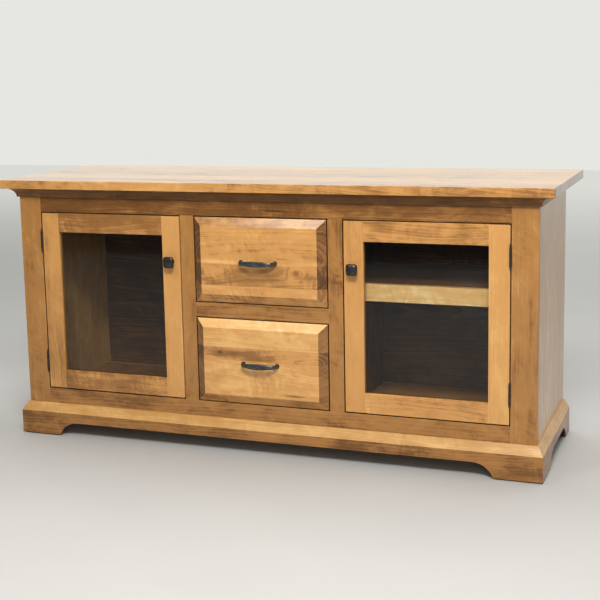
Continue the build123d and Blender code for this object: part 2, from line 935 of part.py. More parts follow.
def slide_member(height, kind):
    """Adds a pair of channel-section slide members, one on each side of a drawer, to the part
    being built. The lips reach from the web towards the next member."""
    web, lip, half_height = slide_sections[kind]
    inward = 1 if lip > web else -1
    for side_sign in (-1, 1):
        wall = side_sign * partition_x
        web_x = (wall - side_sign * web, wall - side_sign * (web + inward * slide_metal))
        lip_x = (wall - side_sign * web, wall - side_sign * lip)
        depths = (slide_start, slide_start + slide_length)
        block(web_x, depths, (height - half_height, height + half_height))
        for edge in (height - half_height, height + half_height - slide_metal):
            block(lip_x, depths, (edge, edge + slide_metal))


def make_drawers():
    openings = {
        "upper": (drawer_rail_z + drawer_rail_height, opening_top),
        "lower": (opening_bottom, drawer_rail_z),
    }
    heights = [make_drawer(name, opening_z) for name, opening_z in openings.items()]
    with BuildPart() as case_rails:
        for height in heights:
            slide_member(height, "case")
    save(case_rails.part, "slide_case_rails")


make_top()
make_coves()
make_base()
make_face_frame()
make_case_panels()
make_shelf()
make_hinges()
make_door()
make_catches()
make_drawers()
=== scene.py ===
"""Looks for the console television cabinet: stained maple, glass, bronze and steel on the CAD."""

import math

import bmesh
import bpy
from mathutils import Matrix, Vector


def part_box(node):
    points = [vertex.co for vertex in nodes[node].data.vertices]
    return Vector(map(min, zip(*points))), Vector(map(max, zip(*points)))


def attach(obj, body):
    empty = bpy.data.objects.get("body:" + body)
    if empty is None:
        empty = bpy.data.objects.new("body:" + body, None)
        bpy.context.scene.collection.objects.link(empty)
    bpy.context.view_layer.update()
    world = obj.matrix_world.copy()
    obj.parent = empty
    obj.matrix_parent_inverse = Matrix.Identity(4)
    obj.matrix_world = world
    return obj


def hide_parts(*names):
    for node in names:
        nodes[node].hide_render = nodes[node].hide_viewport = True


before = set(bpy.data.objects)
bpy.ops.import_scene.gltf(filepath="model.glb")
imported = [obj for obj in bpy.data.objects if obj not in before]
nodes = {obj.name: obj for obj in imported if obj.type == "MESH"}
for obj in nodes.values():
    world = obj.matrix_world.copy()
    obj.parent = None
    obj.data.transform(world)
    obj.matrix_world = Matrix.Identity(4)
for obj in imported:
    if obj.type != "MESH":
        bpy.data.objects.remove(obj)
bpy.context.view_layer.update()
scene = bpy.context.scene
MM = 0.001

# ---------------------------------------------------------------- camera
camera_place = Vector((1.2416, -3.2884, 1.0809))
camera_yaw, camera_pitch, camera_roll = (math.radians(a) for a in (21.34, -8.99, -1.298))
camera_sensor = 36.0  # this and the lens in millimetres
camera_lens = 72.7
camera_shift = (0.0403, -0.069)


def make_camera():
    """The camera fitted to the photograph."""
    forward = Vector(
        (
            -math.sin(camera_yaw) * math.cos(camera_pitch),
            math.cos(camera_yaw) * math.cos(camera_pitch),
            math.sin(camera_pitch),
        )
    )
    level = Vector((math.cos(camera_yaw), math.sin(camera_yaw), 0))
    upright = level.cross(forward)
    right = math.cos(camera_roll) * level + math.sin(camera_roll) * upright
    up = -math.sin(camera_roll) * level + math.cos(camera_roll) * upright
    data = bpy.data.cameras.new("camera")
    data.sensor_width = camera_sensor
    data.lens = camera_lens
    data.shift_x, data.shift_y = camera_shift
    camera = bpy.data.objects.new("camera", data)
    scene.collection.objects.link(camera)
    turn = Matrix((right, up, -forward)).transposed().to_4x4()
    camera.matrix_world = Matrix.Translation(camera_place) @ turn
    scene.camera = camera


# ---------------------------------------------------------------- node helpers
class Graph:
    """Short calls for making the nodes of one tree. A value is a number or another's output."""

    def __init__(self, tree):
        self.tree = tree

    def node(self, kind, **settings):
        made = self.tree.nodes.new(kind)
        for name, value in settings.items():
            setattr(made, name, value)
        return made

    def put(self, socket, value):
        if isinstance(value, bpy.types.NodeSocket):
            self.tree.links.new(value, socket)
        elif value is not None:
            socket.default_value = value

    def math(self, operation, a, b=None, c=None, clamp=False):
        made = self.node("ShaderNodeMath", operation=operation, use_clamp=clamp)
        for socket, value in zip(made.inputs, (a, b, c)):
            self.put(socket, value)
        return made.outputs[0]

    def vector(self, operation, a, b=None):
        made = self.node("ShaderNodeVectorMath", operation=operation)
        self.put(made.inputs[0], a)
        self.put(made.inputs[1], b)
        return made.outputs["Value" if operation == "LENGTH" else "Vector"]

    def split(self, vector):
        made = self.node("ShaderNodeSeparateXYZ")
        self.put(made.inputs[0], vector)
        return made.outputs

    def join(self, x, y, z):
        made = self.node("ShaderNodeCombineXYZ")
        for socket, value in zip(made.inputs, (x, y, z)):
            self.put(socket, value)
        return made.outputs[0]

    def noise(self, vector, scale, detail=2.0, rough=0.5, distortion=0.0, colour=False):
        made = self.node("ShaderNodeTexNoise")
        self.put(made.inputs["Vector"], vector)
        self.put(made.inputs["Scale"], scale)
        self.put(made.inputs["Detail"], detail)
        self.put(made.inputs["Roughness"], rough)
        self.put(made.inputs["Distortion"], distortion)
        return made.outputs["Color" if colour else "Fac"]

    def drawn_out(self, vector, scales, detail=2.0, rough=0.5, distortion=0.0, colour=False):
        """Noise with its own scale along each axis."""
        stretched = self.vector("MULTIPLY", vector, scales)
        return self.noise(stretched, 1.0, detail, rough, distortion, colour)

    def line_noise(self, value, scale):
        made = self.node("ShaderNodeTexNoise", noise_dimensions="1D")
        self.put(made.inputs["W"], value)
        self.put(made.inputs["Scale"], scale)
        return made.outputs["Fac"]

    def chance(self, value):
        """A random colour for each value."""
        made = self.node("ShaderNodeTexWhiteNoise", noise_dimensions="1D")
        self.put(made.inputs["W"], value)
        return made.outputs["Color"]

    def spread(self, value, low, high, to_low=0.0, to_high=1.0, smooth=False):
        """A value between low and high, carried over to the other two."""
        kind = "SMOOTHSTEP" if smooth else "LINEAR"
        made = self.node("ShaderNodeMapRange", interpolation_type=kind)
        for socket, number in zip(made.inputs, (value, low, high, to_low, to_high)):
            self.put(socket, number)
        return made.outputs[0]

    def ramp(self, value, stops):
        """A colour for a value, eased between stops of a place and a colour."""
        made = self.node("ShaderNodeValToRGB")
        made.color_ramp.interpolation = "EASE"
        elements = made.color_ramp.elements
        while len(elements) < len(stops):
            elements.new(1.0)
        for element, (place, colour) in zip(elements, stops):
            element.position = place
            element.color = (*colour, 1.0)
        self.put(made.inputs[0], value)
        return made.outputs[0]

    def mix(self, fac, a, b):
        """A blend of two colours."""
        made = self.node("ShaderNodeMix", data_type="RGBA")
        self.put(made.inputs["Factor"], fac)
        self.put(made.inputs[6], a)
        self.put(made.inputs[7], b)
        return made.outputs[2]

    def bump(self, height, distance, strength):
        made = self.node("ShaderNodeBump")
        self.put(made.inputs["Height"], height)
        made.inputs["Distance"].default_value = distance
        made.inputs["Strength"].default_value = strength
        return made.outputs[0]


def new_material(name):
    """A node material with a Graph to fill it, its Principled shader and its output."""
    material = bpy.data.materials.new(name)
    material.use_nodes = True
    material.node_tree.nodes.clear()
    graph = Graph(material.node_tree)
    out = graph.node("ShaderNodeOutputMaterial")
    shader = graph.node("ShaderNodeBsdfPrincipled")
    graph.put(out.inputs["Surface"], shader.outputs[0])
    return material, graph, shader, out


def here(graph):
    """A point in the piece's own space, in metres."""
    return graph.node("ShaderNodeTexCoord").outputs["Object"]


# ---------------------------------------------------------------- wood
# how finely each feature of the grain repeats along, across and through a board, per metre
FIBRES = (10.0, 480.0, 480.0)
FLECKS = (70.0, 420.0, 420.0)
STREAKS = (2.2, 55.0, 55.0)
CURLS = (95.0, 26.0, 26.0)
CURLY_PLACES = (6.0, 11.0, 11.0)
BLOTCHES = (11.0, 26.0, 26.0)
MOTTLES = (30.0, 70.0, 70.0)
CLOUDS = (2.6, 7.0, 7.0)
MINERAL_LINES = (8.0, 120.0, 120.0)
PITH_WAVER = (2.4, 7.0, 7.0)
GRAIN_SWAY = (7.0, 13.0, 13.0)
SEASONS = 190.0  # changes of growth per metre of radius
YEARS = 230.0  # dark latewood lines per metre of radius
NOISE_MEAN = (0.5, 0.5, 0.5)
OTHER_SEED = 57.3  # added to a seed for a second set of picks
PITH_OFF = 0.035  # of the pith from a board's edge, and its least depth below the face, in metres


def make_wood_group():
    """Plain-sawn maple. It takes a point about the middle of a piece, in metres, with the grain
    along X, the width of its boards along Y and their thickness along Z. It gives a tone from
    dark to light, the fine fibre, the line where two glued boards meet and the board's number."""
    tree = bpy.data.node_groups.new("maple", "ShaderNodeTree")
    for name, kind in (
        ("Point", "NodeSocketVector"),
        ("End Grain", "NodeSocketFloat"),
        ("Seed", "NodeSocketFloat"),
        ("Board Width", "NodeSocketFloat"),
        ("Board Start", "NodeSocketFloat"),
        ("Last Board", "NodeSocketFloat"),
        ("Board Contrast", "NodeSocketFloat"),
        ("Rings", "NodeSocketFloat"),
        ("Curl", "NodeSocketFloat"),
        ("Blotch", "NodeSocketFloat"),
        ("Shift", "NodeSocketFloat"),
    ):
        tree.interface.new_socket(name, in_out="INPUT", socket_type=kind)
    for name in ("Tone", "Fibre", "Joint", "Board"):
        tree.interface.new_socket(name, in_out="OUTPUT", socket_type="NodeSocketFloat")
    g = Graph(tree)
    given = g.node("NodeGroupInput").outputs
    point = g.split(given["Point"])

    # which glued board a point is in, and that board's own place in the tree
    from_start = g.math("SUBTRACT", point[1], given["Board Start"])
    across = g.math("DIVIDE", from_start, given["Board Width"])
    board = g.math("MINIMUM", g.math("FLOOR", across), given["Last Board"])
    board = g.math("MAXIMUM", board, 0.0)
    from_edge = g.math("MULTIPLY", g.math("SUBTRACT", across, board), given["Board Width"])
    pick = g.split(g.chance(g.math("ADD", board, given["Seed"])))
    other_seed = g.math("ADD", given["Seed"], OTHER_SEED)
    other_pick = g.split(g.chance(g.math("ADD", board, other_seed)))
    moved = g.join(
        g.math("MULTIPLY_ADD", pick[0], 7.0, point[0]),
        g.math("MULTIPLY_ADD", pick[1], 5.0, point[1]),
        g.math("MULTIPLY_ADD", pick[2], 5.0, point[2]),
    )

    # growth rings round a pith that runs almost along the board, below its face
    waver = g.vector("SUBTRACT", g.drawn_out(moved, PITH_WAVER, colour=True), NOISE_MEAN)
    waver = g.split(g.vector("MULTIPLY", waver, (0.0, 0.050, 0.030)))
    lean = g.math("MULTIPLY", g.math("SUBTRACT", other_pick[0], 0.5), 0.14)
    pith_y = g.math("MULTIPLY", g.math("SUBTRACT", other_pick[1], 0.5), 0.07)
    pith_depth = g.math("MULTIPLY_ADD", other_pick[2], 0.05, PITH_OFF)
    from_pith = g.math("SUBTRACT", from_edge, PITH_OFF)
    ring_y = g.math("ADD", from_pith, g.math("ADD", pith_y, waver[1]))
    leaning = g.math("MULTIPLY_ADD", point[0], lean, point[2])
    ring_z = g.math("ADD", leaning, g.math("ADD", waver[2], pith_depth))
    radius = g.vector("LENGTH", g.join(0.0, ring_y, ring_z))
    radius = g.math("MULTIPLY_ADD", pick[2], 3.0, radius)
    bands = g.spread(g.line_noise(radius, SEASONS), 0.30, 0.70, -1.0, 1.0, smooth=True)
    latewood = g.math("POWER", g.math("FRACT", g.math("MULTIPLY", radius, YEARS)), 5.0)
    latewood = g.math("MULTIPLY", latewood, 0.9)
    ring_tone = g.math("SUBTRACT", g.math("MULTIPLY", bands, 0.5), latewood)
    ring_tone = g.math("MULTIPLY", ring_tone, given["Rings"])
    at_ends = g.math("MULTIPLY_ADD", given["End Grain"], 0.9, 1.0)
    ring_tone = g.math("MULTIPLY", ring_tone, at_ends)

    # fibres, curl across the grain and the patchy uptake of stain, none of them quite straight
    sway = g.vector("SUBTRACT", g.drawn_out(moved, GRAIN_SWAY, colour=True), NOISE_MEAN)
    wavy = g.vector("ADD", moved, g.vector("MULTIPLY", sway, (0.045, 0.016, 0.016)))
    fibre = g.drawn_out(wavy, FIBRES, 3.0, 0.6)
    flecks = g.drawn_out(wavy, FLECKS, 2.0, 0.6)
    streak = g.drawn_out(wavy, STREAKS, 3.0, 0.6)
    wavy_x, wavy_y, wavy_z = g.split(wavy)
    slanted = g.join(g.math("MULTIPLY_ADD", wavy_y, 0.35, wavy_x), wavy_y, wavy_z)
    curl = g.drawn_out(slanted, CURLS, 1.0, 0.5, 0.6)
    curl_where = g.spread(g.drawn_out(moved, CURLY_PLACES, 1.0), 0.45, 0.65)
    blotch = g.drawn_out(wavy, BLOTCHES, 2.0, 0.55, 0.5)
    mottle = g.drawn_out(wavy, MOTTLES, 3.0, 0.6, 0.6)
    cloud = g.drawn_out(moved, CLOUDS, 1.0)
    mineral = g.spread(g.drawn_out(wavy, MINERAL_LINES, 1.0, 0.5, 0.3), 0.73, 0.82)

    # each feature moves the tone both ways about its mean
    tone = g.math("ADD", 0.5, given["Shift"])
    for feature, amount in (
        (pick[0], given["Board Contrast"]),
        (blotch, given["Blotch"]),
        (mottle, g.math("MULTIPLY", given["Blotch"], 0.4)),
        (cloud, g.math("MULTIPLY", given["Blotch"], 0.8)),
        (streak, 0.08),
        (fibre, 0.11),
        (flecks, 0.10),
        (curl, g.math("MULTIPLY", given["Curl"], curl_where)),
    ):
        tone = g.math("MULTIPLY_ADD", g.math("SUBTRACT", feature, 0.5), amount, tone)
    tone = g.math("MULTIPLY_ADD", mineral, -0.16, tone)
    tone = g.math("ADD", ring_tone, tone)
    tone = g.math("MULTIPLY_ADD", given["End Grain"], -0.33, tone)

    joint = g.spread(from_edge, 0.3 * MM, 0.8 * MM, 1.0, 0.0)
    joint = g.math("MULTIPLY", joint, g.math("GREATER_THAN", board, 0.5))

    out = g.node("NodeGroupOutput")
    g.put(out.inputs["Tone"], tone)
    g.put(out.inputs["Fibre"], fibre)
    g.put(out.inputs["Joint"], joint)
    g.put(out.inputs["Board"], board)


# five colours from a dark streak to pale sapwood, as linear light
HONEY = (
    (0.090, 0.036, 0.011),
    (0.270, 0.120, 0.034),
    (0.560, 0.280, 0.086),
    (0.700, 0.405, 0.145),
    (0.860, 0.630, 0.310),
)
UMBER = (
    (0.045, 0.018, 0.005),
    (0.155, 0.064, 0.016),
    (0.360, 0.168, 0.046),
    (0.480, 0.250, 0.078),
    (0.640, 0.390, 0.150),
)
STAIN_STOPS = (0.0, 0.27, 0.5, 0.7, 1.0)
# which of a piece's own X, Y and Z run along the grain, across the board and through it
RAIL = (0, 2, 1)
STILE = (2, 0, 1)
FLAT_LEVEL = (0, 1, 2)
SIDE_UPRIGHT = (2, 1, 0)
SIDE_LEVEL = (1, 2, 0)


def swelling(g, along, across, place, rise, length, width):
    """A soft oval patch that is 1 in its middle and fades to 0."""
    off_along = g.math("DIVIDE", g.math("SUBTRACT", along, place), length)
    off_across = g.math("DIVIDE", g.math("SUBTRACT", across, rise), width)
    squares = g.math("MULTIPLY", off_across, off_across)
    squares = g.math("MULTIPLY_ADD", off_along, off_along, squares)
    return g.math("EXPONENT", g.math("MULTIPLY", squares, -1.0))


def painted_light_of_sides(g, facing, sides):
    """Painted light and shade: the change of tone of the faces that look a given way, by their
    object-space normal.
    """
    shade = 0.0
    for axis, way, squarely, change in sides:
        turned = g.math("MULTIPLY", facing[axis], float(way))
        looks = g.spread(turned, squarely - 0.1, squarely)
        shade = g.math("MULTIPLY_ADD", looks, -change, shade)
    return shade


def knotted(g, along, across, through, rings, shade, knots):
    """Depth, strength of rings and shade round knots. The rings bulge round a knot and crowd
    there, and its heart is darker."""
    wobble = g.split(g.noise(g.join(along, across, 0.0), 55.0, colour=True))
    wander = 12 * MM  # how far the outline of a knot strays
    knot_along, knot_across = (
        g.math("MULTIPLY_ADD", stray, wander, g.math("SUBTRACT", where, wander / 2))
        for stray, where in zip(wobble, (along, across))
    )
    for place, rise, size, depth in knots:
        near = swelling(g, knot_along, knot_across, place, rise, size * 1.4, size)
        heart = swelling(g, knot_along, knot_across, place, rise, size * 0.35, size * 0.25)
        through = g.math("MULTIPLY_ADD", near, size * 1.3, through)
        rings = g.math("MULTIPLY_ADD", near, 0.10, rings)
        shade = g.math("MULTIPLY_ADD", near, 0.5 * depth, shade)
        shade = g.math("MULTIPLY_ADD", heart, depth, shade)
    return through, rings, shade


def wood(
    node,
    axes,
    palette,
    seed,
    board=1.0,
    start=-0.5,
    last=40.0,
    contrast=0.16,
    rings=0.10,
    curl=0.2,
    blotch=0.45,
    shift=0.0,
    gloss=0.40,
    coat=0.45,
    coat_gloss=0.2,
    tones=(),
    knots=(),
    patches=(),
    sides=(),
    relief=0.5,
    pair=False,
):
    """Gives a CAD node a stained maple. Boards are counted from a start below the middle of the
    piece, and tones are their own shades in that order. A knot is a place along and across the
    grain from that middle, a size in metres and a depth of shade. A patch is a place, a length,
    a width and a change of tone. A side is an axis, a way along it, how squarely a face has to
    look that way, and its change of tone. A pair is two solids, one each side of the cabinet."""
    low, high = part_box(node)
    middle = (low + high) / 2
    material, g, shader, _ = new_material(node + "_maple")
    parts = list(g.split(here(g)))
    if pair:
        parts[0] = g.math("ABSOLUTE", parts[0])
        middle.x = high.x
    parts = [g.math("SUBTRACT", part, centre) for part, centre in zip(parts, middle)]
    along, across, through = (parts[i] for i in axes)
    facing = g.split(g.node("ShaderNodeTexCoord").outputs["Normal"])
    end_grain = g.spread(g.math("ABSOLUTE", facing[axes[0]]), 0.3, 0.5)
    # painted light and shade on the faces that look the ways given in sides
    shade = painted_light_of_sides(g, facing, sides)
    for *oval, change in patches:
        shade = g.math("MULTIPLY_ADD", swelling(g, along, across, *oval), -change, shade)
    if knots:
        through, rings, shade = knotted(g, along, across, through, rings, shade, knots)
    maple = g.node("ShaderNodeGroup", node_tree=bpy.data.node_groups["maple"])
    for socket, value in (
        ("Point", g.join(along, across, through)),
        ("End Grain", end_grain),
        ("Seed", float(seed)),
        ("Board Width", board),
        ("Board Start", start),
        ("Last Board", last),
        ("Board Contrast", contrast),
        ("Rings", rings),
        ("Curl", curl),
        ("Blotch", blotch),
        ("Shift", shift),
    ):
        g.put(maple.inputs[socket], value)
    tone = g.math("SUBTRACT", maple.outputs["Tone"], shade)
    for i, change in enumerate(tones):
        this_board = g.math("COMPARE", maple.outputs["Board"], float(i), 0.1)
        tone = g.math("MULTIPLY_ADD", this_board, change, tone)
    tone = g.math("SUBTRACT", tone, g.math("MULTIPLY", maple.outputs["Joint"], 0.22), clamp=True)
    g.put(shader.inputs["Base Color"], g.ramp(tone, tuple(zip(STAIN_STOPS, palette))))
    roughness = g.spread(maple.outputs["Fibre"], 0.2, 0.8, gloss - 0.06, gloss + 0.08)
    g.put(shader.inputs["Roughness"], roughness)
    height = g.math("MULTIPLY_ADD", maple.outputs["Joint"], -0.6, maple.outputs["Fibre"])
    g.put(shader.inputs["Normal"], g.bump(height, 0.1 * MM, relief))
    shader.inputs["Specular IOR Level"].default_value = 0.2
    shader.inputs["Coat Weight"].default_value = coat
    shader.inputs["Coat Roughness"].default_value = coat_gloss
    dress(node, material)


# ---------------------------------------------------------------- other materials
def make_glass():
    """Clear float glass with a faint film that dulls its reflections in places."""
    material, g, shader, out = new_material("float_glass")
    g.tree.nodes.remove(shader)
    clear = g.node("ShaderNodeBsdfTransparent")
    clear.inputs["Color"].default_value = (0.965, 0.975, 0.965, 1)
    shine = g.node("ShaderNodeBsdfGlossy")
    shine.inputs["Color"].default_value = (0.9, 0.9, 0.9, 1)
    film = g.drawn_out(here(g), (7.0, 7.0, 16.0), 4.0, 0.6)
    g.put(shine.inputs["Roughness"], g.spread(film, 0.35, 0.75, 0.02, 0.10))
    fresnel = g.node("ShaderNodeFresnel")
    fresnel.inputs["IOR"].default_value = 1.3  # below that of glass, as both faces reflect
    either = g.node("ShaderNodeMixShader")
    g.put(either.inputs[0], fresnel.outputs[0])
    g.put(either.inputs[1], clear.outputs[0])
    g.put(either.inputs[2], shine.outputs[0])
    g.put(out.inputs["Surface"], either.outputs[0])
    return material


def metal(name, dark, light, rough, metallic, scale, coat=0.0):
    """A metal whose colour, polish and surface wander between two states."""
    material, g, shader, _ = new_material(name)
    patch = g.noise(here(g), scale, 4.0, 0.65)
    fine = g.noise(here(g), scale * 9, 2.0, 0.6)
    blend = g.spread(g.math("MULTIPLY_ADD", fine, 0.35, patch), 0.45, 0.9, smooth=True)
    g.put(shader.inputs["Base Color"], g.mix(blend, (*dark, 1), (*light, 1)))
    g.put(shader.inputs["Roughness"], g.spread(patch, 0.25, 0.75, rough + 0.08, rough - 0.06))
    g.put(shader.inputs["Normal"], g.bump(fine, 0.04 * MM, 0.7))
    shader.inputs["Metallic"].default_value = metallic
    shader.inputs["Coat Weight"].default_value = coat
    shader.inputs["Coat Roughness"].default_value = 0.25
    return material


def plastic(name, dark, light, rough):
    """Moulded plastic with a fine sparked texture."""
    material, g, shader, _ = new_material(name)
    patch = g.noise(here(g), 60.0, 3.0, 0.6)
    pits = g.noise(here(g), 2600.0, 2.0, 0.5)
    g.put(shader.inputs["Base Color"], g.mix(g.spread(patch, 0.3, 0.7), (*dark, 1), (*light, 1)))
    g.put(shader.inputs["Roughness"], g.spread(pits, 0.3, 0.7, rough - 0.05, rough + 0.08))
    g.put(shader.inputs["Normal"], g.bump(pits, 0.05 * MM, 0.6))
    return material


def dress(node, material):
    """Gives a CAD node its material."""
    data = nodes[node].data
    data.materials.clear()
    data.materials.append(material)


# ---------------------------------------------------------------- wooden parts
# how squarely a flat edge and a bevel look along an axis
SQUARE = 0.95
BEVELLED = 0.45


def square_edges(change):
    """A piece's edges towards -X, +X, -Z and +Z, with a change of tone, used for painted shade on
    the edges beside gaps and openings.
    """
    return tuple((axis, way, SQUARE, change) for axis in (0, 2) for way in (-1, 1))


def dress_face():
    """Face frame, mouldings and side panels, in the darker stain. The edges round the openings are
    darker still, as painted shade, and the bevel of the base is painted lighter, as a highlight
    where light falls on it."""
    # Painted shade: the edges that face the openings are darker. The top rail's lower tone and the
    # darker patch over its left part are painted shade under the top's overhang.
    left, right, down, up = square_edges(-0.55)
    rails = (
        ("face_top_rail", -0.13, (down,), ((-0.40, 0.0, 0.40, 0.10, -0.10),)),
        ("face_bottom_rail", -0.03, (up,), ()),
        ("face_drawer_rail", -0.13, (up, down), ()),
    )
    for i, (node, shift, sides, patches) in enumerate(rails):
        look = dict(rings=0.08, shift=shift, sides=sides, patches=patches)
        wood(node, RAIL, UMBER, 11 + i * 3, **look)
    stiles = (
        ("face_stile_left", 31, -0.01, (right,)),
        ("face_stile_right", 36, 0.03, (left,)),
        ("face_mullion_left", 41, 0.02, (left, right)),
        ("face_mullion_right", 46, 0.02, (left, right)),
    )
    for node, seed, shift, sides in stiles:
        wood(node, STILE, UMBER, seed, curl=0.3, rings=0.06, shift=shift, sides=sides)
    for side, seed in (("left", 83), ("right", 92)):
        wood(
            f"side_panel_{side}",
            SIDE_UPRIGHT,
            UMBER,
            seed,
            board=0.112,
            start=-0.224,
            shift=0.25,
            coat=0.75,
            coat_gloss=0.16,
            relief=0.15,
        )
    # Painted highlight: the base's upward-facing bevel is lighter. The lower tones of the base and
    # the cove are painted shade, near the floor and under the top.
    bevel = (2, 1, BEVELLED, 0.42)
    base = dict(rings=0.08, shift=-0.07, coat=0.5, sides=(bevel,))
    cove = dict(blotch=0.5, rings=0.08, shift=-0.17, coat=0.2)
    for piece, seed, look in (("base", 53, base), ("cove", 60, cove)):
        wood(f"{piece}_front", RAIL, UMBER, seed, **look)
        wood(f"{piece}_sides", SIDE_LEVEL, UMBER, seed + 14, pair=True, **look)
    wood(
        "top_panel",
        FLAT_LEVEL,
        HONEY,
        101,
        board=0.109,
        start=-0.272,
        last=4.0,
        contrast=0.2,
        rings=0.08,
        coat=1.0,
        coat_gloss=0.12,
        # painted light: the front edge is a touch lighter
        sides=((1, -1, SQUARE, 0.04),),
    )


def dress_doors():
    """The left door's hinge side and top are a little darker, as is its bottom rail: painted shade
    where less light falls, and on the top rail under the top's overhang.
    """
    stiles = ("latch_stile", "hinge_stile", "glass_stops")
    rails = ("top_rail", "bottom_rail")
    # the left door's lower tones are painted shade
    shifts = {
        "left": dict(latch_stile=0.03, hinge_stile=-0.03, top_rail=-0.20, bottom_rail=-0.10),
        "right": dict(latch_stile=0.03, hinge_stile=0.03, top_rail=0.0, bottom_rail=0.0),
    }
    swirls = {"left_door_top_rail": ((-0.13, 0.0, 0.030, 0.04),)}
    for side, first_seed in (("left", 120), ("right", 160)):
        for i, piece in enumerate(stiles):
            look = dict(curl=0.12, blotch=0.25, rings=0.045, shift=shifts[side].get(piece, 0.0))
            wood(f"{side}_door_{piece}", STILE, HONEY, first_seed + i * 4, **look)
        for i, piece in enumerate(rails):
            node = f"{side}_door_{piece}"
            look = dict(curl=0.35, blotch=0.40, rings=0.075, shift=shifts[side][piece])
            wood(node, RAIL, HONEY, first_seed + 21 + i * 4, knots=swirls.get(node, ()), **look)


def dress_drawers():
    """Each front is glued up from three boards. The upper one has a knot low on the right and a pale
    streak over its middle joint, the lower one a knot and a dark streak in its narrow middle board.
    The top bevels carry painted light: the upper front's is painted darker and the lower one's
    lighter. The other bevels and the edges beside the gaps are painted shade."""
    # seed, width of a board, and where the count of boards starts, from the front's middle
    glue_up = {"upper": (211, 0.060, -0.129), "lower": (223, 0.035, -0.028)}
    tones = {"upper": (0.04, -0.07, 0.0), "lower": (0.04, -0.04, 0.12)}
    knots = {"upper": ((0.112, -0.028, 0.016, 0.07),), "lower": ((-0.122, 0.024, 0.009, 0.20),)}
    patches = {
        "upper": (
            (0.0, -0.003, 0.5, 0.006, 0.12),
            (-0.03, -0.055, 0.07, 0.016, -0.10),
            (0.135, -0.048, 0.03, 0.012, -0.14),
        ),
        "lower": ((-0.070, 0.024, 0.085, 0.012, -0.30), (0.10, -0.085, 0.03, 0.003, -0.34)),
    }
    # painted light on the top bevels, painted shade on the other bevels and on the edges beside the
    # gaps
    top_bevel_painted_light = {"upper": (2, 1, BEVELLED, -0.12), "lower": (2, 1, BEVELLED, 0.20)}
    shaded_bevels_painted = ((2, -1, BEVELLED, -0.14), (0, -1, BEVELLED, -0.07))
    painted_shade_sides = (*shaded_bevels_painted, *square_edges(-0.25))
    for level in ("upper", "lower"):
        seed, board, start = glue_up[level]
        wood(
            f"{level}_drawer_front",
            RAIL,
            HONEY,
            seed,
            board=board,
            start=start,
            last=2.0,
            contrast=0.0,
            rings=0.07,
            curl=0.30,
            blotch=0.40,
            shift=0.02,
            coat=0.6,
            tones=tones[level],
            knots=knots[level],
            patches=patches[level],
            sides=(top_bevel_painted_light[level], *painted_shade_sides),
        )
        box = dict(shift=0.25, blotch=0.2)
        wood(f"{level}_drawer_sides", SIDE_LEVEL, HONEY, seed + 2, pair=True, **box)
        wood(f"{level}_drawer_ends", RAIL, HONEY, seed + 3, **box)
        wood(f"{level}_drawer_bottom", FLAT_LEVEL, HONEY, seed + 4, shift=0.2, blotch=0.2)


def dress_inside():
    """The shelf's edge painted pale as painted light, and the darker stain on the rest of the inside
    and the blocks, with the shelf board, partitions, back and stretchers darker still as painted
    shade.
    """
    # the nosing's pale tone is painted light; the lower tones of the shelf board, partitions, back
    # and stretchers are painted shade inside the cabinet
    wood("shelf_nosing", RAIL, HONEY, 241, shift=0.20, blotch=0.5, curl=0.5)
    wood("shelf_board", FLAT_LEVEL, UMBER, 243, board=0.13, shift=-0.3)
    wood("partitions", SIDE_UPRIGHT, UMBER, 247, board=0.12, shift=-0.4, pair=True)
    wood("bottom_panel", FLAT_LEVEL, UMBER, 251, board=0.14)
    wood("back_panel", RAIL, UMBER, 257, board=0.4, shift=-0.37, blotch=0.25, coat=0.1, gloss=0.5)
    wood("top_stretchers", FLAT_LEVEL, UMBER, 263, shift=-0.1)
    wood("base_corner_blocks", STILE, UMBER, 269)


def dress_hardware():
    """Dark bronze hinges and knobs, pulls in a paler copy of the bronze that is a painted sheen,
    zinc-plated slides, and the glass.
    """
    bronze = metal(
        "rubbed_bronze",
        dark=(0.012, 0.011, 0.011),
        light=(0.055, 0.050, 0.048),
        rough=0.42,
        metallic=0.7,
        scale=140.0,
        coat=0.25,
    )
    # a paler copy of the bronze for the pulls: painted sheen
    bronze_with_painted_sheen = metal(
        "bronze_with_painted_sheen",
        dark=(0.030, 0.031, 0.034),
        light=(0.110, 0.114, 0.122),
        rough=0.42,
        metallic=0.75,
        scale=140.0,
        coat=0.3,
    )
    zinc = metal(
        "zinc_plate",
        dark=(0.42, 0.43, 0.44),
        light=(0.66, 0.66, 0.65),
        rough=0.34,
        metallic=1.0,
        scale=35.0,
    )
    for side, level in (("left", "upper"), ("right", "lower")):
        make_pull(level, bronze_with_painted_sheen)
        make_knob(side, bronze)
    for name in nodes:
        if name == "hinge_pins" or name.endswith("leaves"):
            dress(name, bronze)
        elif "slide" in name or name.endswith("strike") or name in ("top_screws", "shelf_pins"):
            dress(name, zinc)
    glass = make_glass()
    for side in ("left", "right"):
        dress(f"{side}_door_glass", glass)
    dress("door_catches", plastic("brown_plastic", (0.10, 0.055, 0.03), (0.14, 0.08, 0.045), 0.45))
    dress("glides", plastic("black_nylon", (0.010, 0.010, 0.010), (0.022, 0.022, 0.022), 0.5))


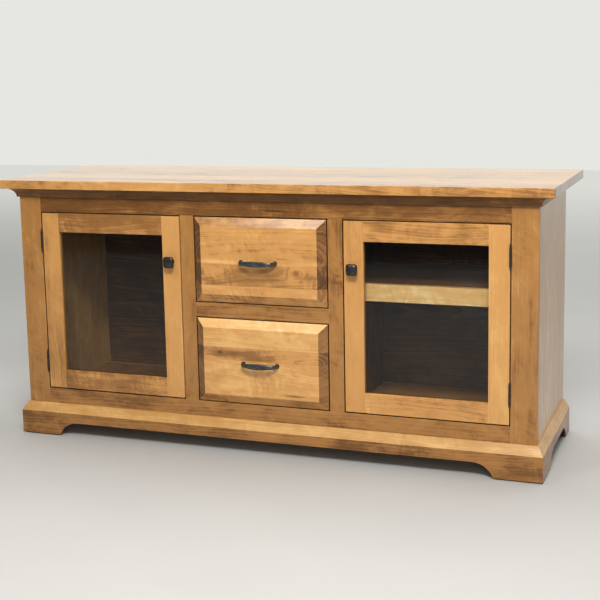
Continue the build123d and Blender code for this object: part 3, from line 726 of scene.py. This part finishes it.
# ---------------------------------------------------------------- pulls and knobs
def skin(name, rings):
    """A smooth mesh through rings of points, with its two ends capped."""
    mesh = bpy.data.meshes.new(name)
    maker = bmesh.new()
    rows = [[maker.verts.new(point) for point in ring] for ring in rings]
    count = len(rows[0])
    for row, following in zip(rows, rows[1:]):
        for i in range(count):
            j = (i + 1) % count
            maker.faces.new((row[i], row[j], following[j], following[i]))
    maker.faces.new(list(reversed(rows[0])))
    maker.faces.new(rows[-1])
    bmesh.ops.recalc_face_normals(maker, faces=maker.faces)
    for face in maker.faces:
        face.smooth = True
    maker.to_mesh(mesh)
    maker.free()
    made = bpy.data.objects.new(name, mesh)
    scene.collection.objects.link(made)
    return made


def rounded(angle, width, height, power):
    """A point of a squared-off oval. A power of 2 gives an ellipse."""
    c, s = math.cos(angle), math.sin(angle)
    reach = (abs(c) ** power + abs(s) ** power) ** (-1 / power)
    return width * c * reach, height * s * reach


def make_pull(level, bronze):
    """A cast bow pull: a bar that swells in the middle, bent round into two flared feet."""
    node = f"{level}_drawer_pull"
    low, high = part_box(node)
    middle = (low + high) / 2
    foot_radius = 6.4 * MM
    half_height = (high.z - low.z) / 2
    half_span = (high.x - low.x) / 2 - foot_radius
    bar = 3.3 * MM  # half the thickness, front to back
    reach = high.y - low.y - bar
    squareness = 3.2  # of the bow, seen from above
    small_turn = 0.01
    steps, corners = 72, 24
    rings = []
    for i in range(steps + 1):
        turn = math.pi * i / steps
        x, out = rounded(turn, half_span, reach, squareness)
        ahead, ahead_out = rounded(turn + small_turn, half_span, reach, squareness)
        back, back_out = rounded(turn - small_turn, half_span, reach, squareness)
        along = Vector((ahead - back, back_out - ahead_out, 0)).normalized()
        if i in (0, steps):
            along = Vector((0, -1 if i == 0 else 1, 0))
        sideways = along.cross(Vector((0, 0, 1)))
        # a foot flares over the last sixth of its reach, and the bar's middle swells
        lift = out / reach
        flare = max(0.0, 1 - lift / 0.16) ** 2
        swell = max(0.0, 1 - (x / (0.75 * half_span)) ** 2)
        thick = bar + (foot_radius - bar) * (0.35 * (1 - lift) + 0.65 * flare)
        tall = half_height * (0.66 + 0.34 * swell + 0.2 * flare)
        centre = Vector((middle.x + x, high.y - max(out, 0.0), middle.z))
        ring = []
        for k in range(corners):
            across, rise = rounded(2 * math.pi * k / corners, thick, tall, 2.6)
            ring.append(centre + sideways * across + Vector((0, 0, rise)))
        rings.append(ring)
    pull = skin(f"{level}_bow_pull", rings)
    pull.data.materials.append(bronze)
    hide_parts(node)
    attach(pull, f"{level}_drawer")


def make_knob(side, bronze):
    """A square pillow knob: a flange, a waisted neck and a soft-cornered head."""
    node = f"{side}_door_knob"
    low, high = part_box(node)
    middle = (low + high) / 2
    depth = high.y - low.y
    edge = (high.x - low.x) / 2
    corners = 48
    # share of the depth out from the door, share of the head's half width, power of the corners
    outline = (
        (0.00, 0.58, 2.0),
        (0.05, 0.57, 2.0),
        (0.11, 0.42, 2.0),
        (0.22, 0.36, 2.0),
        (0.38, 0.36, 2.0),
        (0.50, 0.48, 2.2),
        (0.57, 0.80, 3.2),
        (0.62, 0.94, 4.5),
        (0.69, 1.00, 5.0),
        (0.77, 0.99, 5.0),
        (0.84, 0.94, 4.6),
        (0.91, 0.82, 4.2),
        (0.96, 0.62, 3.8),
        (0.99, 0.36, 3.2),
        (1.00, 0.10, 2.4),
    )
    rings = []
    for out, share, power in outline:
        ring = []
        for k in range(corners):
            x, z = rounded(2 * math.pi * k / corners, edge * share, edge * share, power)
            ring.append((middle.x + x, high.y - depth * out, middle.z + z))
        rings.append(ring)
    knob = skin(f"{side}_pillow_knob", rings)
    knob.data.materials.append(bronze)
    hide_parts(node)
    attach(knob, f"{side}_door")


# ---------------------------------------------------------------- stage and light
def make_stage():
    """A pale floor that ends near the camera and far behind glows, as painted light, brightening
    into the backdrop.
    """
    front, back, side = -3.5, 9.0, 9.0
    mesh = bpy.data.meshes.new("floor")
    corners = ((-side, front, 0), (side, front, 0), (side, back, 0), (-side, back, 0))
    mesh.from_pydata(corners, [], [(0, 1, 2, 3)])
    floor = bpy.data.objects.new("floor", mesh)
    scene.collection.objects.link(floor)
    material, g, shader, _ = new_material("floor_paint")
    shade = g.noise(here(g), 3.0, 2.0)
    g.put(shader.inputs["Base Color"], g.mix(shade, (0.43, 0.43, 0.43, 1), (0.46, 0.46, 0.455, 1)))
    shader.inputs["Roughness"].default_value = 0.8
    shader.inputs["Emission Color"].default_value = (1.0, 1.0, 0.95, 1)
    # painted light: the floor glows more and more with distance
    far = g.split(here(g))[1]
    g.put(shader.inputs["Emission Strength"], g.spread(far, 0.5, 8.0, 0.0, 0.46, smooth=True))
    mesh.materials.append(material)


def area_light(name, place, target, size, power, colour):
    """A rectangular light that points at a target, in metres and watts."""
    data = bpy.data.lights.new(name, "AREA")
    data.shape = "RECTANGLE"
    data.size, data.size_y = size
    data.energy = power
    data.color = colour
    light = bpy.data.objects.new(name, data)
    scene.collection.objects.link(light)
    light.location = place
    aim = Vector(target) - Vector(place)
    light.rotation_euler = aim.to_track_quat("-Z", "Y").to_euler()


def make_lights():
    """A frontal key that shades the bevels, a fill behind the camera, soft light on the top and
    a small window whose sheen lies on the upper drawer's top bevel. The world is dark in front,
    where the upright glass reflects it, and bright behind, where the backdrop is."""
    area_light("key", (1.0, -2.6, 2.8), (0.0, -0.25, 0.35), (1.2, 0.7), 112, (1.0, 0.97, 0.92))
    area_light("fill", (1.4, -4.2, 2.0), (0.0, -0.2, 0.3), (2.4, 1.6), 34, (1.0, 0.97, 0.93))
    area_light("overhead", (0.2, 0.8, 3.6), (0.1, 0.3, 0.4), (3.0, 2.2), 70, (1.0, 0.98, 0.95))
    area_light("window", (-0.8, -1.85, 3.0), (0.15, -0.25, 0.67), (0.7, 0.45), 18, (1.0, 0.98, 0.90))
    world = bpy.data.worlds.new("studio")
    world.use_nodes = True
    g = Graph(world.node_tree)
    world.node_tree.nodes.clear()
    out = g.node("ShaderNodeOutputWorld")
    sky = g.node("ShaderNodeBackground")
    where = g.split(g.node("ShaderNodeTexCoord").outputs["Generated"])
    back = g.spread(where[1], -0.5, 0.6, smooth=True)
    g.put(sky.inputs["Color"], g.mix(back, (0.13, 0.128, 0.125, 1), (0.93, 0.94, 0.885, 1)))
    sky.inputs["Strength"].default_value = 0.85
    g.put(out.inputs["Surface"], sky.outputs[0])
    scene.world = world
    scene.view_settings.view_transform = "Standard"


make_camera()
make_wood_group()
dress_face()
dress_doors()
dress_drawers()
dress_inside()
dress_hardware()
make_stage()
make_lights()
